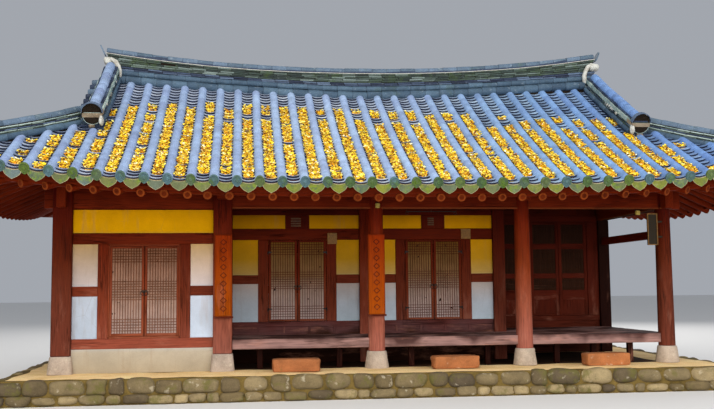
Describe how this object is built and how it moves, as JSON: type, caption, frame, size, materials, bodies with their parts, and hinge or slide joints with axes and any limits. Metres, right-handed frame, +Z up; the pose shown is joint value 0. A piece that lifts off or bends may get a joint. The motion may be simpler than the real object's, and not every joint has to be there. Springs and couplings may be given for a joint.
{
  "type": "korean tiled house",
  "caption": "Single-storey timber-framed house on a stone platform, with a plank veranda, plastered walls, hinged double doors and a swept hip-and-gable tiled roof.",
  "frame": {"origin": "Centre of the house at ground level, on the underside of the stone platform.", "axes": "+X runs along the front, to the right for someone facing it; +Y runs from the front to the rear; +Z is up."},
  "size_m": [13.7042, 8.105, 6.1863],
  "materials": {
    "stone": "rough weathered field stone",
    "base_stone": "dressed pale granite, weathered",
    "timber": "old red-brown stained timber",
    "door": "lattice joinery in old red-brown timber",
    "plank": "worn bare planks",
    "wall": "matt lime plaster between timber rails",
    "earth": "packed earth and stone floor",
    "tile": "matt grey fired clay tiles with moss",
    "ridge": "stacked grey ridge tiles with mortar and moss",
    "gable": "boarded gable in old red-brown timber"
  },
  "bodies": {
    "house": {"stone_platform": "stone", "base_stone_1": "base_stone", "base_stone_2": "base_stone", "base_stone_3": "base_stone", "base_stone_4": "base_stone", "base_stone_5": "base_stone", "step_block_2": "base_stone", "step_block_3": "base_stone", "step_block_4": "base_stone", "column_front_1": "timber", "column_front_2": "timber", "column_front_3": "timber", "column_front_4": "timber", "column_front_5": "timber", "post_mid_3": "timber", "head_beam_front": "timber", "head_beam_rear": "timber", "head_beam_left": "timber", "head_beam_right": "timber", "cross_beam_2": "timber", "cross_beam_3": "timber", "cross_beam_4": "timber", "ridge_purlin": "timber", "veranda_floor": "plank", "corner_floor": "plank", "room_floor": "earth", "wall_front_1": "wall", "window_front_1": "door", "wall_return_2": "wall", "wall_mid_2_left": "wall", "wall_mid_2_right": "wall", "wall_mid_2_over": "wall", "wall_mid_3_left": "wall", "wall_mid_3_right": "wall", "wall_mid_3_over": "wall", "wall_mid_2_under": "timber", "wall_mid_3_under": "timber", "wall_side_4": "wall", "wall_back_4": "timber", "wall_left": "wall", "wall_right": "wall", "wall_rear": "wall", "side_rail_5": "timber", "roof_front": "tile", "roof_rear": "tile", "roof_left": "tile", "roof_right": "tile", "main_ridge": "ridge", "corner_ridge_front_left": "ridge", "corner_ridge_front_right": "ridge", "corner_ridge_rear_left": "ridge", "corner_ridge_rear_right": "ridge", "gable_left": "gable", "gable_right": "gable"},
    "door_2_left": {"door_2_left": "door"},
    "door_2_right": {"door_2_right": "door"},
    "door_3_left": {"door_3_left": "door"},
    "door_3_right": {"door_3_right": "door"}
  },
  "joints": [
    {"name": "door_2_left_hinge", "type": "hinge", "parent": "house", "child": "door_2_left", "pos_m": [-1.732, -0.754, 1.82], "axis": [0, 0, -1], "range_deg": [0, 105]},
    {"name": "door_2_right_hinge", "type": "hinge", "parent": "house", "child": "door_2_right", "pos_m": [-0.698, -0.754, 1.82], "axis": [0, 0, 1], "range_deg": [0, 105]},
    {"name": "door_3_left_hinge", "type": "hinge", "parent": "house", "child": "door_3_left", "pos_m": [0.728, -0.754, 1.82], "axis": [0, 0, -1], "range_deg": [0, 105]},
    {"name": "door_3_right_hinge", "type": "hinge", "parent": "house", "child": "door_3_right", "pos_m": [1.762, -0.754, 1.82], "axis": [0, 0, 1], "range_deg": [0, 105]}
  ]
}
